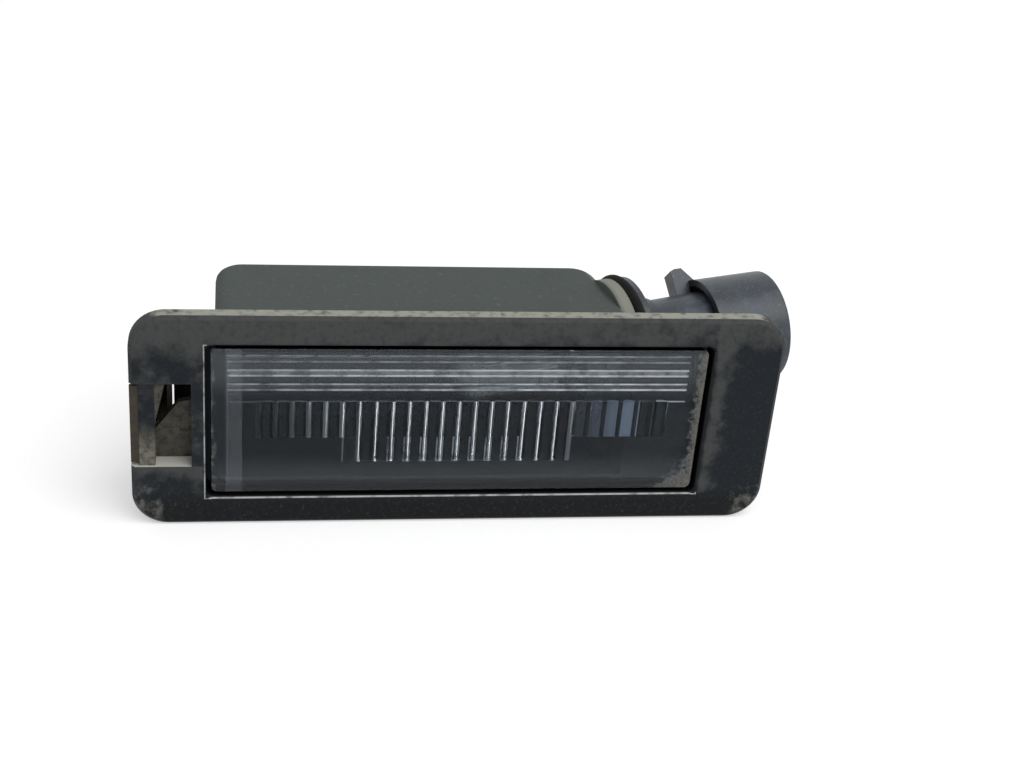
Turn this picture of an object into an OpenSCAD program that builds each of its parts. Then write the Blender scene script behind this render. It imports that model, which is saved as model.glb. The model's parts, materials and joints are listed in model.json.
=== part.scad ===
// Number plate lamp with a side-entry bulb holder.
// Origin: centre of the bezel frame's back face, from which a low seat bears on the panel.
// X runs along the lamp, Y from the lens to the rear, Z up.

/* [Bezel frame] */
// Length of the frame
frame_len = 80; // [78:0.5:84]
// Height of the frame
frame_h = 28.9; // [28:0.1:31]
// Thickness of the frame
frame_t = 2; // [1.8:0.1:2.6]
// Radius of the frame's outer corners
frame_corner_r = 4.4; // [3:0.1:5]
// Chamfer round the front edge
frame_edge = 0.45; // [0.2:0.05:0.7]
// Border between the frame's ends and the lens opening
end_border = 8.95; // [8.8:0.05:9.4]
// Border between the frame's long edges and the lens opening
rim_border = 3.9; // [3.8:0.05:4.2]
// Radius of the lens opening's corners
opening_corner_r = 0.9; // [0.5:0.1:1.5]
// Chamfer round the lens opening
opening_edge = 0.35; // [0.2:0.05:0.6]
// Height of the raised seat on the frame's back
seat_h = 0.3; // [0.2:0.05:0.5]
// Distance from the frame's edges to the seat
seat_inset = 0.6; // [0.4:0.05:0.8]
// Gap between the seat and what stands inside it
seat_clear = 0.15; // [0.1:0.05:0.3]

/* [Clip tower] */
// Gap between the cut-out at the frame's left end and the tray
cutout_gap = 0.15; // [0.1:0.05:0.4]
// Height of the cut-out
cutout_h = 11.5; // [10.5:0.1:13]
// How far the cut-out's middle sits below the frame's middle
cutout_drop = 0.3; // [0:0.1:1]
// Thickness of the post that carries the spring clip
post_t = 1.9; // [1.4:0.1:2]
// Distance from the frame's end to the post
post_inset = 1; // [1:0.05:1.3]
// How much wider the post is at its top
post_flare = 1.3; // [0:0.1:1.3]
// How far the post stays behind the frame's front face
post_recess = 0.35; // [0.2:0.05:0.6]
// Depth of the tower behind the frame
tower_depth = 6.4; // [5.5:0.1:8]
// Thickness of the tower's side plates
tower_wall = 1.2; // [0.8:0.1:1.6]
// Thickness of the tower's end wall
tower_end_t = 1; // [0.8:0.1:1.4]
// Gap between the clip's inner leg and the tower's end wall
tower_end_gap = 0.25; // [0.2:0.05:0.5]
// Thickness of the web inside the tower
web_t = 1; // [0.8:0.1:1.4]
// Gap between the frame's back and the web
web_setback = 0.4; // [0.2:0.1:0.8]
// Height of the web's right end above the frame's middle
web_high = 2; // [1.6:0.1:3]
// How far the web's left end lies below the frame's middle
web_drop = 2; // [1.2:0.1:2.5]
// Length of the nearly level part of the web's top
web_level = 1.6; // [1:0.05:2]
// Fall of the nearly level part
web_fall = 0.35; // [0.1:0.05:0.6]

/* [Fixed catch] */
// Gap between the tray and the catch
catch_gap = 1.8; // [1.4:0.1:2.2]
// Width of the catch
catch_w = 9; // [6:0.5:12]
// Thickness of the catch's stem
catch_t = 1.8; // [1.4:0.1:2.2]
// Gap that takes the panel behind the seat
panel_gap = 1.9; // [1.2:0.1:2.2]
// Thickness of the catch's nose
nose_t = 1.4; // [1:0.1:1.8]
// How far the nose reaches past the stem
nose_reach = 1.7; // [1.2:0.1:2]
// How far the nose's sloped tip starts past the stem
nose_flat = 0.6; // [0.3:0.1:1]

/* [Rear housing] */
// Distance from the lens opening's left end to the tub's left wall
tub_inset = 1.05; // [0.6:0.05:2]
// How far the tub's top stands above the lens opening
top_lap = 0.65; // [0.5:0.05:1]
// How far the tub's bottom stands below the lens opening
bottom_lap = 1.65; // [1.6:0.05:1.8]
// Depth of the tub behind the frame
tub_depth = 20.5; // [20.2:0.1:23]
// Radius of the tub's upright corners
tub_corner_r = 3.4; // [2.5:0.1:4]
// Rounding of the tub's top and bottom edges
tub_edge_r = 1.5; // [0.8:0.1:2]
// Wall thickness of the tub
tub_wall = 1.5; // [1.2:0.1:1.6]
// Distance from the collar's face back to the slanted end wall
collar_len = 1; // [0.9:0.1:1.1]
// Outer radius of the collar round the mouth
collar_r = 9.1; // [8.8:0.1:9.2]
// Depth of the tray behind the frame
tray_depth = 2.6; // [2.4:0.05:2.7]
// Wall of the tray round the lens flange
tray_wall = 0.7; // [0.6:0.05:1]
// Radius of the tray's corners
tray_corner_r = 1.8; // [1.4:0.1:2.4]
// Fit of the lens flange in the tray
tray_fit = 0.1; // [0.05:0.01:0.15]
// Thickness of the shelf behind the lens seal
shelf_t = 1; // [0.9:0.05:1.1]

/* [Lens] */
// Gap between the lens and the opening's sides
lens_side_gap = 0.6; // [0.4:0.05:0.8]
// Gap between the lens and the opening's top and bottom
lens_top_gap = 0.5; // [0.3:0.05:0.7]
// Thickness of the clear pane
pane_t = 1.6; // [1.4:0.1:2]
// How far the pane stays behind the frame's front face
pane_recess = 0.5; // [0.3:0.05:0.8]
// How far the lens flange reaches past the opening
flange_lap = 0.75; // [0.5:0.05:0.9]
// Thickness of the lens flange
flange_t = 1; // [0.8:0.05:1.1]
// Wall between the pane and the lens flange
lens_wall = 1; // [0.8:0.05:1.2]
// Spacing of the upright flutes
flute_pitch = 2.05; // [1.9:0.05:2.2]
// Least distance from the lens's ends to the upper row of flutes
flute_margin = 4.5; // [3.6:0.1:8]
// Least distance from the lens's ends to the lower row of flutes
lower_margin = 17; // [12:0.5:20]
// Height of a flute above the pane
flute_h = 0.45; // [0.3:0.05:0.6]
// Land between two flutes
flute_land = 0.12; // [0.1:0.01:0.3]
// Distance from the lowest prism line to the upper row of flutes
flute_drop = 2.05; // [1.2:0.05:2.5]
// Distance from the lens's bottom edge to the lower row of flutes
flute_foot = 3.65; // [3:0.05:4.5]
// Height of the lower row
lower_row_h = 3.5; // [3:0.1:4]
// Shift of the flutes to the right of the lens's middle
flute_shift = 0.8; // [0:0.05:1.2]
// Number of prism lines
prism_count = 3; // [2:1:3]
// Distance from the lens's top edge to the highest prism line
prism_drop = 1.9; // [1.4:0.05:2.2]
// Spacing of the prism lines
prism_pitch = 1.95; // [1.8:0.05:2.1]
// Width of a prism line
prism_w = 0.7; // [0.5:0.05:0.9]
// Height of a prism line
prism_h = 0.4; // [0.2:0.05:0.6]
// Distance from the lens's ends to the prism lines
prism_end = 1.95; // [1.4:0.05:5]
// Width of the lens seal
lens_seal_w = 1; // [0.8:0.05:1.1]
// Gap between the lens seal and the edge of the lens flange
lens_seal_play = 0.1; // [0.05:0.01:0.2]

/* [Spring clip] */
// Thickness of the steel strip
strip_t = 0.5; // [0.4:0.05:0.6]
// Gap between the strip and the cut-out, above and below
strip_gap = 0.45; // [0.3:0.05:0.8]
// Width of the lip that shows at the front
lip_w = 1; // [0.8:0.05:1.1]
// How far the lip stays behind the frame's front face
lip_recess = 0.4; // [0.2:0.05:0.7]
// How far the clip bulges past its straight leg
bulge_out = 0.6; // [0.4:0.05:0.8]
// Clear width between the clip's two legs
leg_gap = 3.25; // [3.25:0.05:3.5]
// Length of the inner leg
inner_leg = 4; // [3:0.1:4.4]
// Gap between the tower's end and the middle of the clip's rear bend
bend_gap = 0.1; // [0.05:0.05:0.5]

/* [Bulb holder] */
// Distance from the lens opening's right end to the collar's face
holder_inset = 9.2; // [8.6:0.05:10]
// Depth of the collar's face behind the frame
holder_y = 12.1; // [12.05:0.05:12.3]
// Distance from the tub's top down to the middle of the collar
holder_drop = 8; // [7.8:0.05:8.2]
// Angle of the holder's axis towards the rear
holder_yaw = 13; // [11:0.5:15]
// Angle of the holder's axis upwards
holder_lift = 2.3; // [0:0.1:2.6]
// Radius of the boss in the mouth
boss_r = 6.9; // [6.8:0.05:7]
// Length of the boss inside the mouth
boss_len = 7; // [6:0.1:8]
// Running clearance of the boss in the mouth
mouth_gap = 0.1; // [0.05:0.01:0.1]
// Radius over the bayonet lugs
lug_r = 7.8; // [7.7:0.05:7.85]
// Angle that a lug takes up
lug_angle = 24; // [18:1:28]
// Thickness of a lug along the axis
lug_t = 1.5; // [1:0.1:2]
// Gap between a lug and its notch, outwards
notch_gap = 0.2; // [0.1:0.05:0.3]
// Angle by which a notch is wider than its lug
notch_play = 4; // [2:0.5:8]
// Play of a lug along the axis behind the end wall
lug_play = 0.15; // [0.1:0.05:0.3]
// Gap round the boss behind the end wall
boss_relief = 0.35; // [0.2:0.05:0.5]
// Distance from the collar's face back to the lugs
lug_back = 3.2; // [3.1:0.1:3.3]
// Angle through which the holder turns to free the lugs
unlock_angle = 45; // [40:1:50]
// Radius of the rubber seal
seal_r = 9.55; // [9.3:0.05:9.7]
// Thickness of the rubber seal
seal_t = 1.3; // [1:0.1:1.6]
// Gap between the seal and the collar
seal_gap = 0.05; // [0.02:0.01:0.1]
// Radius of the holder's flange
holder_flange_r = 9.1; // [8.6:0.05:9.3]
// Thickness of the holder's flange
holder_flange_t = 0.8; // [0.6:0.1:1.2]
// Radius of the step behind the flange
step_r = 5.9; // [5.8:0.05:6.2]
// End of the step along the axis
step_end = 5; // [4.5:0.1:6]
// Radius of the neck next to the step
neck_r = 5.5; // [5.4:0.05:5.6]
// Radius of the neck at the connector shell
neck_end_r = 5.8; // [5.6:0.05:5.9]
// Start of the connector shell along the axis
shell_start = 12.3; // [11.8:0.1:12.6]
// Length of the connector shell
shell_len = 10; // [9:0.1:11]
// Radius of the connector shell
shell_r = 7.4; // [7.3:0.05:7.6]
// Wall of the connector shell
shell_wall = 0.9; // [0.7:0.05:1]
// Depth of the ring-shaped recess at the shell's near end
shell_recess = 2.2; // [1.5:0.1:2.5]
// Thickness of the wall that carries the shell
shell_web = 1.2; // [1:0.1:1.6]
// Rounding of the shell's far edge
shell_edge_r = 0.4; // [0.2:0.05:0.4]
// Radius over the finger wings
wing_r = 9.25; // [8.8:0.05:9.4]
// Thickness of a finger wing
wing_t = 2.3; // [1.8:0.1:2.6]
// Length of a finger wing along the axis
wing_len = 3.35; // [3:0.05:4.5]
// How far a finger wing runs along the connector shell
wing_lap = 1.2; // [0.6:0.1:1.4]
// Length of the bevel at a finger wing's near corner
wing_bevel = 0.65; // [0.3:0.05:1]
// Height of that bevel
wing_bevel_h = 0.25; // [0.1:0.05:0.6]
// Length of the slope from a finger wing to the shell
wing_slope = 1.7; // [1.2:0.1:1.9]
// Angle of the upper wing behind the top
wing_back = 46.5; // [35:0.5:55]

/* [Bulb and terminals] */
// Radius of the bulb's glass
glass_r = 4.75; // [4.6:0.05:4.8]
// Wall of the bulb's glass
glass_wall = 0.6; // [0.5:0.05:0.8]
// Distance from the collar's face to the bulb's tip
glass_reach = 24.3; // [23:0.1:24.4]
// Distance from the collar's face to the glass shoulder
shoulder_back = 10; // [9.5:0.1:11]
// Length of the first part of the glass shoulder
shoulder_len = 1.4; // [1:0.1:2]
// How far the first part draws in
shoulder_step = 0.95; // [0.6:0.05:1.2]
// Length of the whole glass shoulder
throat_len = 3.6; // [3.2:0.1:4]
// How far the whole shoulder draws in
throat_step = 2.6; // [2:0.1:3]
// How far the hollow ends before the shoulder does
throat_fill = 1.4; // [1:0.1:1.8]
// How far the pressed base starts after the shoulder does
base_start = 1.6; // [1.2:0.1:2]
// Width of the bulb's pressed base
base_w = 9.4; // [9:0.1:9.5]
// Thickness of the bulb's pressed base
base_t = 2.1; // [2:0.05:2.2]
// End of the pressed base beyond the collar's face
base_end = 2.4; // [2:0.1:2.5]
// Gap between the pressed base and its socket
socket_gap = 0.3; // [0.2:0.05:0.5]
// Height of the socket, with room for the contact fingers
socket_h = 6; // [5.6:0.1:6.4]
// Radius of a lead wire
lead_r = 0.2; // [0.15:0.01:0.22]
// Distance of a lead wire from the bulb's axis
lead_y = 1.8; // [1.7:0.05:1.9]
// Length of a lead wire folded back over the pressed base
lead_fold = 4; // [3:0.1:5]
// Distance from the collar's face to the filament's ends
filament_back = 15; // [14:0.1:16]
// Radius of the filament's coil
coil_r = 0.3; // [0.25:0.01:0.35]
// How far the filament's arc is wider than the leads
coil_bow = 0.6; // [0.4:0.05:1]
// Thickness of a terminal strip
terminal_t = 0.5; // [0.4:0.05:0.6]
// Width of a terminal strip
terminal_w = 1.8; // [1.5:0.1:2]
// How far a contact finger springs in to the bulb
finger_spring = 0.6; // [0.3:0.05:0.8]
// Distance from the collar's face back to the end of a contact finger
finger_back = 5.5; // [5:0.1:6]
// Distance from the collar's face back to where a finger touches the bulb
finger_touch = 3; // [2.5:0.1:3.5]
// Distance from the step's end to the bend of a terminal
bend_start = 1; // [0.5:0.1:1.5]
// Length of a terminal's bend
bend_len = 4; // [3:0.1:5]
// Length of a pin inside the connector shell
pin_len = 5; // [4:0.1:6]

/* [Hidden] */
$fn = 48;
// Cutters reach this far past the faces they open
past = 1;
// Facets round a corner that is part of a hull
hull_fn = 32;
// Facets round an edge that is part of a hull
edge_fn = 16;
// Facets round the filament
coil_fn = 24;

// Frame
opening_len = frame_len - 2 * end_border;
opening_h = frame_h - 2 * rim_border;
frame_left = -frame_len / 2;
cutout_len = end_border - flange_lap - tray_fit - tray_wall - cutout_gap;
cutout_right = frame_left + cutout_len;
cutout_low = -cutout_drop - cutout_h / 2;
cutout_high = -cutout_drop + cutout_h / 2;
post_left = frame_left + post_inset;
post_right = post_left + post_t;
tower_end_left = post_left + leg_gap + strip_t + tower_end_gap;

// Lens, its flange and the tray that takes it
lens_len = opening_len - 2 * lens_side_gap;
lens_h = opening_h - 2 * lens_top_gap;
lens_flange_len = opening_len + 2 * flange_lap;
lens_flange_h = opening_h + 2 * flange_lap;
pane_front = pane_recess - frame_t;
pane_back = pane_front + pane_t;
tub_top = opening_h / 2 + top_lap;
tub_bottom = opening_h / 2 + bottom_lap;
tray_len = lens_flange_len + 2 * (tray_fit + tray_wall);
tray_h = 2 * tub_bottom;
shelf_y = tray_depth - shelf_t;

// Lines and flutes on the lens: both rows of flutes have an odd number, so that their flutes line up
prism_len = lens_len - 2 * prism_end;
prism_root = pane_t / 4;
prism_high = lens_h / 2 - prism_drop;
flute_top = prism_high - (prism_count - 1) * prism_pitch - flute_drop;
flute_low = flute_foot - lens_h / 2;
upper_row_h = flute_top - flute_low - lower_row_h;
flute_count = odd_count(flute_margin);
lower_count = odd_count(lower_margin);
function odd_count(margin) = 1 + 2 * floor((lens_len / 2 - margin) / flute_pitch - 1 / 2);

// Catch
catch_x = tray_len / 2 + catch_gap;
panel_y = seat_h + panel_gap;

// Tub
tub_left = opening_len / 2 - tub_inset;
holder_x = opening_len / 2 - holder_inset;
holder_z = tub_top - holder_drop;
mouth_r = boss_r + mouth_gap;
notch_r = lug_r + notch_gap;
cavity_top = tub_top - tub_wall;
cavity_bottom = tub_bottom - tub_wall;
relief_r = boss_r + boss_relief;

// Holder stations, measured outwards along its axis from the collar's face
seal_start = seal_gap;
flange_start = seal_start + seal_t;
flange_end = flange_start + holder_flange_t;
shell_end = shell_start + shell_len;
web_start = shell_start + shell_recess;
cavity_start = web_start + shell_web;
wing_start = shell_start - wing_len + wing_lap;
wing_root = 1;
lug_angles = [-100, 80, 170];

// Bulb
socket_end = base_end + 2 * lead_r + socket_gap;
socket_w = base_w + 2 * socket_gap;
strip_inner = base_t / 2 + 2 * lead_r;
strip_rest = strip_inner + finger_spring;

// A point on the slanted end wall's plane, inset by a distance, at a given depth
function end_x(y, inset) = holder_x
    - (collar_len + inset + (y - holder_y) * sin(holder_yaw)) / cos(holder_yaw);

// Places its children on the holder's axis: X up, Y to the front, Z outwards
module on_holder() {
    translate([holder_x, holder_y, holder_z])
        rotate([0, 90 - holder_lift, holder_yaw])
            rotate([0, 0, 180])
                children();
}

// Outline with round corners
module rounded_rect(len, h, r) {
    union() {
        square([len - 2 * r, h], center = true);
        square([len, h - 2 * r], center = true);
        for (sx = [-1, 1], sz = [-1, 1])
            translate([sx * (len / 2 - r), sz * (h / 2 - r)])
                circle(r = r);
    }
}

// Upright slab between two depths, with round corners
module slab(len, h, r, y0, y1) {
    translate([0, y1, 0])
        rotate([90, 0, 0])
            linear_extrude(height = y1 - y0)
                rounded_rect(len, h, r);
}

// Cross-section of a bar whose sides slope inwards at 45 degrees
module bevel_outline(width, edge) {
    polygon([[-width / 2, 0], [width / 2, 0], [width / 2 - edge, edge], [edge - width / 2, edge]]);
}

// Slab whose edges slope inwards by the same amount as its thickness
module sloped_slab(len, h, r, y0, edge) {
    r_in = r - edge;
    translate([0, y0 + edge, 0])
        rotate([90, 0, 0])
            union() {
                for (sx = [-1, 1], sz = [-1, 1])
                    translate([sx * (len / 2 - r), sz * (h / 2 - r), 0])
                        cylinder(r1 = r, r2 = r_in, h = edge);
                translate([r - len / 2, 0, 0])
                    rotate([90, 0, 90])
                        linear_extrude(height = len - 2 * r)
                            bevel_outline(h, edge);
                translate([0, h / 2 - r, 0])
                    rotate([90, 0, 0])
                        linear_extrude(height = h - 2 * r)
                            bevel_outline(len, edge);
            }
}

// Post that carries the clip: it widens towards the top
module clip_post() {
    translate([0, tower_depth, 0])
        rotate([90, 0, 0])
            linear_extrude(height = tower_depth + frame_t - post_recess)
                polygon([
                    [post_left, cutout_low], [post_right, cutout_low],
                    [post_right, -cutout_drop], [post_right + post_flare, cutout_high],
                    [post_left, cutout_high]
                ]);
}

// Web inside the tower: its top climbs from the post and ends nearly level
module clip_web() {
    translate([0, web_setback + web_t, 0])
        rotate([90, 0, 0])
            linear_extrude(height = web_t)
                polygon([
                    [post_right, cutout_low], [cutout_right, cutout_low], [cutout_right, web_high],
                    [cutout_right - web_level, web_high - web_fall], [post_right, -web_drop]
                ]);
}

module clip_tower() {
    clip_post();
    clip_web();
    for (z = [cutout_low - tower_wall, cutout_high])
        translate([post_left, 0, z])
            cube([cutout_right - post_left, tower_depth, tower_wall]);
    translate([tower_end_left, tower_depth - tower_end_t, cutout_low])
        cube([cutout_right - tower_end_left, tower_end_t, cutout_h]);
}

// Hook on the right that goes behind the panel first
module fixed_catch() {
    translate([0, 0, -catch_w / 2])
        linear_extrude(height = catch_w)
            polygon([
                [catch_x, 0], [catch_x + catch_t, 0], [catch_x + catch_t, panel_y],
                [catch_x + catch_t + nose_reach, panel_y],
                [catch_x + catch_t + nose_flat, panel_y + nose_t], [catch_x, panel_y + nose_t]
            ]);
}

// Raised seat round the frame's back, open round the clip tower and the catch
module panel_seat() {
    tower_h = cutout_h + 2 * (tower_wall + seat_clear);
    catch_end = catch_x + catch_t + nose_reach + seat_clear;
    difference() {
        slab(frame_len - 2 * seat_inset, frame_h - 2 * seat_inset, frame_corner_r - seat_inset, 0, seat_h);
        slab(
            tray_len + 2 * seat_clear, tray_h + 2 * seat_clear,
            tray_corner_r + seat_clear, -past, seat_h + past
        );
        translate([frame_left, -past, -cutout_drop - tower_h / 2])
            cube([end_border, seat_h + 2 * past, tower_h]);
        translate([0, -past, -catch_w / 2 - seat_clear])
            cube([catch_end, seat_h + 2 * past, catch_w + 2 * seat_clear]);
    }
}

module bezel_frame() {
    color([0.12, 0.13, 0.14])
        union() {
            difference() {
                union() {
                    slab(frame_len, frame_h, frame_corner_r, frame_edge - frame_t, 0);
                    sloped_slab(frame_len, frame_h, frame_corner_r, -frame_t, frame_edge);
                }
                slab(opening_len, opening_h, opening_corner_r, -frame_t - past, past);
                mirror([0, 1, 0])
                    sloped_slab(
                        opening_len + 2 * opening_edge, opening_h + 2 * opening_edge,
                        opening_corner_r + opening_edge, frame_t - opening_edge, opening_edge
                    );
                translate([frame_left - past, -frame_t - past, cutout_low])
                    cube([cutout_len + past, frame_t + 2 * past, cutout_h]);
            }
            panel_seat();
            clip_tower();
            fixed_catch();
        }
}

// Upright corner post of the tub, with rounded ends
module corner_post(r, low, high, edge) {
    for (z = [edge - low, high - edge])
        translate([0, 0, z])
            rotate_extrude($fn = hull_fn)
                translate([r - edge, 0])
                    circle(r = edge, $fn = edge_fn);
}

// Solid form of the tub, inset by a distance
module tub_form(inset, low, high, edge) {
    r = tub_corner_r - inset;
    y_rear = tub_depth - tub_corner_r;
    for_left = tub_corner_r - tub_left;
    hull() {
        for (place = [
            [for_left, 0], [for_left, y_rear],
            [end_x(0, tub_corner_r), 0], [end_x(y_rear, tub_corner_r), y_rear]
        ])
            translate([place[0], place[1], 0])
                corner_post(r, low, high, edge);
    }
}

// Sector of a ring, centred on an angle, on the holder's axis
module sector(r_in, r_out, z0, z1, mid, span) {
    rotate([0, 0, mid - span / 2])
        translate([0, 0, z0])
            rotate_extrude(angle = span)
                translate([r_in, 0])
                    square([r_out - r_in, z1 - z0]);
}

module rear_housing() {
    color([0.24, 0.27, 0.26])
        difference() {
            union() {
                slab(tray_len, tray_h, tray_corner_r, 0, tray_depth);
                difference() {
                    tub_form(0, tub_bottom, tub_top, tub_edge_r);
                    translate([-frame_len / 2, -frame_len, -frame_h])
                        cube([frame_len, frame_len, 2 * frame_h]);
                }
                on_holder()
                    translate([0, 0, -collar_len - tub_wall / 2])
                        cylinder(r = collar_r, h = collar_len + tub_wall / 2);
            }
            slab(
                lens_flange_len + 2 * tray_fit, lens_flange_h + 2 * tray_fit,
                tray_corner_r / 2, -past, shelf_y
            );
            tub_form(tub_wall, cavity_bottom, cavity_top, tub_edge_r / 2);
            on_holder()
                union() {
                    translate([0, 0, -collar_len - 2 * tub_wall])
                        cylinder(r = mouth_r, h = collar_len + 2 * tub_wall + past);
                    translate([0, 0, -boss_len - past])
                        cylinder(r = relief_r, h = boss_len + past - collar_len - tub_wall);
                    for (a = lug_angles) {
                        sector(
                            mouth_r / 2, notch_r, -collar_len - 2 * tub_wall, past,
                            a + unlock_angle, lug_angle + notch_play
                        );
                        sector(
                            mouth_r / 2, notch_r, -lug_back - lug_t - lug_play, lug_play - lug_back,
                            a + unlock_angle / 2, unlock_angle + lug_angle + notch_play
                        );
                    }
                }
        }
}

// Flat arc of a circle that forms one flute
module flute(length) {
    half = (flute_pitch - flute_land) / 2;
    r = (half * half + flute_h * flute_h) / (2 * flute_h);
    linear_extrude(height = length)
        intersection() {
            translate([0, flute_h - r])
                circle(r = r);
            translate([-half, -flute_h])
                square([2 * half, 2 * flute_h]);
        }
}

module flute_row(count, top, length) {
    for (i = [0 : count - 1])
        translate([flute_shift + (i - (count - 1) / 2) * flute_pitch, pane_back, top - length])
            flute(length);
}

module prism_line(z) {
    translate([-prism_len / 2, pane_back, z])
        rotate([90, 0, 90])
            linear_extrude(height = prism_len)
                polygon([
                    [-prism_root, -prism_w / 2], [0, -prism_w / 2], [prism_h, 0],
                    [0, prism_w / 2], [-prism_root, prism_w / 2]
                ]);
}

module lens() {
    color([0.75, 0.8, 0.84, 0.45])
        union() {
            slab(lens_len, lens_h, opening_corner_r, pane_front, pane_back);
            difference() {
                slab(lens_flange_len, lens_flange_h, tray_corner_r / 2, 0, flange_t);
                slab(
                    lens_len - 2 * lens_wall, lens_h - 2 * lens_wall,
                    opening_corner_r, -past, flange_t + past
                );
            }
            flute_row(flute_count, flute_top, upper_row_h);
            flute_row(lower_count, flute_top - upper_row_h, lower_row_h);
            for (i = [0 : prism_count - 1])
                prism_line(prism_high - i * prism_pitch);
        }
}

module lens_seal() {
    outer_len = lens_flange_len - 2 * lens_seal_play;
    outer_h = lens_flange_h - 2 * lens_seal_play;
    color([0.07, 0.07, 0.07])
        difference() {
            slab(outer_len, outer_h, tray_corner_r / 2, flange_t, shelf_y);
            slab(outer_len - 2 * lens_seal_w, outer_h - 2 * lens_seal_w, opening_corner_r, 0, shelf_y + past);
        }
}

// Outline of the bent strip, seen from above
module strip_outline() {
    front = lip_recess - frame_t;
    outer = post_left - strip_t;
    inner = outer + leg_gap + 2 * strip_t;
    bend_r = (inner - outer) / 2;
    bend_y = tower_depth + bend_gap;
    union() {
        translate([outer - lip_w + strip_t, front])
            square([lip_w, strip_t]);
        translate([outer, front])
            square([strip_t, -front + panel_y / 2]);
        polygon([
            [outer, panel_y / 2], [outer + strip_t, panel_y / 2],
            [outer + strip_t - bulge_out, panel_y + bulge_out],
            [outer + strip_t, bend_y], [outer, bend_y],
            [outer - bulge_out, panel_y + bulge_out]
        ]);
        difference() {
            translate([outer + bend_r, bend_y])
                circle(r = bend_r);
            translate([outer + bend_r, bend_y])
                circle(r = bend_r - strip_t);
            translate([outer - past, bend_y - 2 * bend_r])
                square([2 * bend_r + 2 * past, 2 * bend_r]);
        }
        translate([inner - strip_t, bend_y - inner_leg])
            square([strip_t, inner_leg]);
    }
}

module spring_clip() {
    color([0.42, 0.3, 0.16])
        translate([0, 0, cutout_low + strip_gap])
            linear_extrude(height = cutout_h - 2 * strip_gap)
                strip_outline();
}

// Strip of one terminal, seen from the side: contact finger, rest, step and pin
module terminal_outline(jog) {
    finger = [
        [-finger_back, strip_rest], [-finger_touch, strip_inner], [0, strip_rest],
        [step_end + bend_start, strip_rest], [step_end + bend_start + bend_len, jog],
        [cavity_start + pin_len, jog]
    ];
    back = [for (i = [len(finger) - 1 : -1 : 0]) [finger[i][0], finger[i][1] + terminal_t]];
    polygon([for (p = concat(finger, back)) [p[1], p[0]]]);
}

module terminal_strip(side, jog) {
    mirror([side < 0 ? 1 : 0, 0, 0])
        translate([0, side * (lead_y + terminal_w / 2) , 0])
            rotate([90, 0, 0])
                translate([0, 0, side > 0 ? 0 : -terminal_w])
                    linear_extrude(height = terminal_w)
                        terminal_outline(jog);
}

module terminal_shape_upper() {
    terminal_strip(1, -strip_rest - terminal_t);
}

module terminal_shape_lower() {
    terminal_strip(-1, strip_rest);
}

module terminal_upper() {
    color([0.72, 0.66, 0.45])
        on_holder()
            terminal_shape_upper();
}

module terminal_lower() {
    color([0.72, 0.66, 0.45])
        on_holder()
            terminal_shape_lower();
}

module connector_shell() {
    rotate_extrude()
        union() {
            translate([shell_r - shell_wall, shell_start])
                square([shell_wall, shell_len - shell_edge_r]);
            translate([shell_r - shell_wall, shell_start])
                square([shell_wall - shell_edge_r, shell_len]);
            translate([shell_r - shell_edge_r, shell_end - shell_edge_r])
                circle(r = shell_edge_r);
            translate([0, web_start])
                square([shell_r - shell_wall / 2, shell_web]);
        }
}

module finger_wing(angle) {
    rotate([0, 0, angle])
        translate([0, wing_t / 2, wing_start])
            rotate([90, 0, 0])
                linear_extrude(height = wing_t)
                    polygon([
                        [neck_r - wing_root, 0], [wing_r - wing_bevel_h, 0], [wing_r, wing_bevel],
                        [wing_r, wing_len - wing_slope], [shell_r - shell_wall / 2, wing_len],
                        [shell_r - shell_wall / 2, wing_len - wing_lap],
                        [neck_r - wing_root, wing_len - wing_lap]
                    ]);
}

module holder_body() {
    color([0.2, 0.22, 0.25])
        on_holder()
            difference() {
                union() {
                    translate([0, 0, -boss_len])
                        cylinder(r = boss_r, h = boss_len + flange_end);
                    translate([0, 0, flange_start])
                        cylinder(r = holder_flange_r, h = holder_flange_t);
                    translate([0, 0, flange_end])
                        cylinder(r = step_r, h = step_end - flange_end);
                    translate([0, 0, step_end])
                        cylinder(r1 = neck_r, r2 = neck_end_r, h = web_start - step_end);
                    for (a = lug_angles)
                        sector(boss_r / 2, lug_r, -lug_back - lug_t, -lug_back, a, lug_angle);
                    for (side = [0, 180])
                        finger_wing(side - wing_back);
                    connector_shell();
                }
                translate([-socket_h / 2, -socket_w / 2, -boss_len - past])
                    cube([socket_h, socket_w, boss_len + past + socket_end]);
                terminal_shape_upper();
                terminal_shape_lower();
            }
}

module holder_seal() {
    color([0.08, 0.08, 0.08])
        on_holder()
            rotate_extrude()
                union() {
                    translate([boss_r, seal_start])
                        square([seal_r - boss_r - seal_t / 2, seal_t]);
                    translate([seal_r - seal_t / 2, seal_start + seal_t / 2])
                        circle(r = seal_t / 2);
                }
}

// Shape of one lead wire: inside the glass, round the base's end and back over its face
module lead_shape(side) {
    fold = base_end + lead_r;
    face = base_t / 2 + lead_r;
    translate([0, side * lead_y, 0])
        union() {
            translate([0, 0, -filament_back])
                cylinder(r = lead_r, h = filament_back + fold);
            translate([0, 0, fold])
                sphere(r = lead_r);
            translate([0, 0, fold])
                rotate([0, 90 * side, 0])
                    cylinder(r = lead_r, h = face);
            translate([side * face, 0, fold])
                sphere(r = lead_r);
            translate([side * face, 0, -lead_fold])
                cylinder(r = lead_r, h = lead_fold + fold);
        }
}

module bulb_lead_upper() {
    color([0.7, 0.68, 0.64])
        on_holder()
            lead_shape(1);
}

module bulb_lead_lower() {
    color([0.7, 0.68, 0.64])
        on_holder()
            lead_shape(-1);
}

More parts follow.
